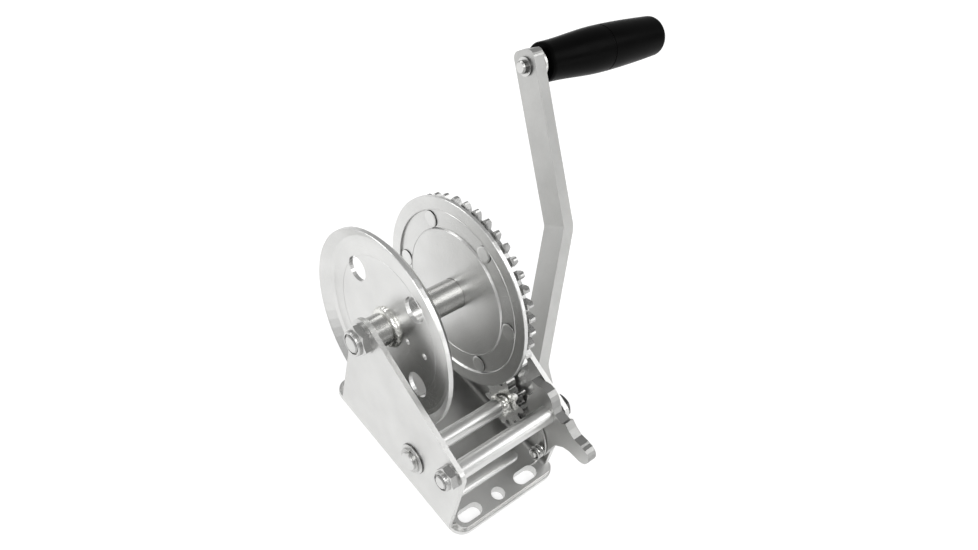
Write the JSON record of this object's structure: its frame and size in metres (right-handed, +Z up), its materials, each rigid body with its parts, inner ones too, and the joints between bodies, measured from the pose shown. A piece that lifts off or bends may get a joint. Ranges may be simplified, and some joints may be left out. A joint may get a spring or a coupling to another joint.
{
  "type": "hand winch",
  "caption": "Hand-cranked trailer winch: strap drum with spur gear between two side plates, cranked pinion shaft, two-way thumb pawl and slotted base.",
  "frame": {"origin": "on the base's underside, midway between the side plates and straight below the drum axle", "axes": "+X along the shafts from the nut side to the crank side, +Y to the rear, away from the pawl, +Z up"},
  "size_m": [0.308, 0.2171, 0.217],
  "materials": {
    "zinc_sheet": "bright zinc plate over rolled sheet, satin",
    "zinc_drum": "bright zinc plate over pressed or turned steel, satin",
    "zinc_fastener": "bright zinc plate on fasteners, satin",
    "zinc_bar": "bright zinc plate over bar stock, satin",
    "weld_bead": "plated weld bead, uneven",
    "spring_steel": "plated spring wire, smooth",
    "sintered_bronze": "oil-filled sintered bronze, dull",
    "black_plastic": "moulded black plastic, satin"
  },
  "bodies": {
    "frame": {"left_side_plate": "zinc_sheet", "right_side_plate": "zinc_sheet", "front_spacer_tube": "zinc_drum", "front_tie_bolt": "zinc_fastener", "front_tie_nut": "zinc_fastener", "drum_axle_bolt": "zinc_fastener", "drum_axle_nut": "zinc_fastener", "left_shaft_bush": "zinc_fastener", "right_shaft_bush": "zinc_fastener"},
    "drum": {"drum_hub_tube": "zinc_drum", "left_flange": "zinc_drum", "right_flange": "zinc_drum", "drum_gear": "zinc_drum", "left_flange_weld": "weld_bead", "drum_gear_weld": "weld_bead", "gear_rivet_1": "zinc_fastener", "gear_rivet_2": "zinc_fastener", "gear_rivet_3": "zinc_fastener", "gear_rivet_4": "zinc_fastener", "gear_rivet_5": "zinc_fastener", "gear_rivet_6": "zinc_fastener", "left_drum_bush": "sintered_bronze", "right_drum_bush": "sintered_bronze", "left_thrust_washer": "zinc_fastener", "right_thrust_washer": "zinc_fastener"},
    "crank": {"input_shaft": "zinc_bar", "pinion": "zinc_bar", "shaft_collar": "weld_bead", "shaft_retaining_ring": "spring_steel", "crank_spacer": "zinc_fastener", "crank_nut": "zinc_fastener", "crank_arm": "zinc_bar", "grip_rivet": "zinc_fastener", "grip_washer": "zinc_fastener", "grip_spacer": "zinc_fastener"},
    "handle": {"grip": "black_plastic"},
    "pawl": {"pawl_lever": "zinc_sheet", "pawl_spring": "spring_steel", "pawl_spring_pin": "zinc_fastener"}
  },
  "joints": [
    {"name": "drum_spin", "type": "hinge", "parent": "frame", "child": "drum", "pos_m": [0, 0, 0.0892], "axis": [1, 0, 0], "continuous": true},
    {"name": "crank_spin", "type": "hinge", "parent": "frame", "child": "crank", "pos_m": [0, -0.06358, 0.03354], "axis": [1, 0, 0], "continuous": true},
    {"name": "grip_spin", "type": "hinge", "parent": "crank", "child": "handle", "pos_m": [0.1198, 0.06517, 0.20347], "axis": [0.9981, -0.0369, -0.0488], "continuous": true},
    {"name": "pawl_swing", "type": "hinge", "parent": "frame", "child": "pawl", "pos_m": [0, -0.097, 0.0593], "axis": [1, 0, 0], "range_deg": [-54, 26]}
  ],
  "couplings": [
    {"joint": "crank_spin", "follows": "drum_spin", "ratio": -4.1}
  ]
}
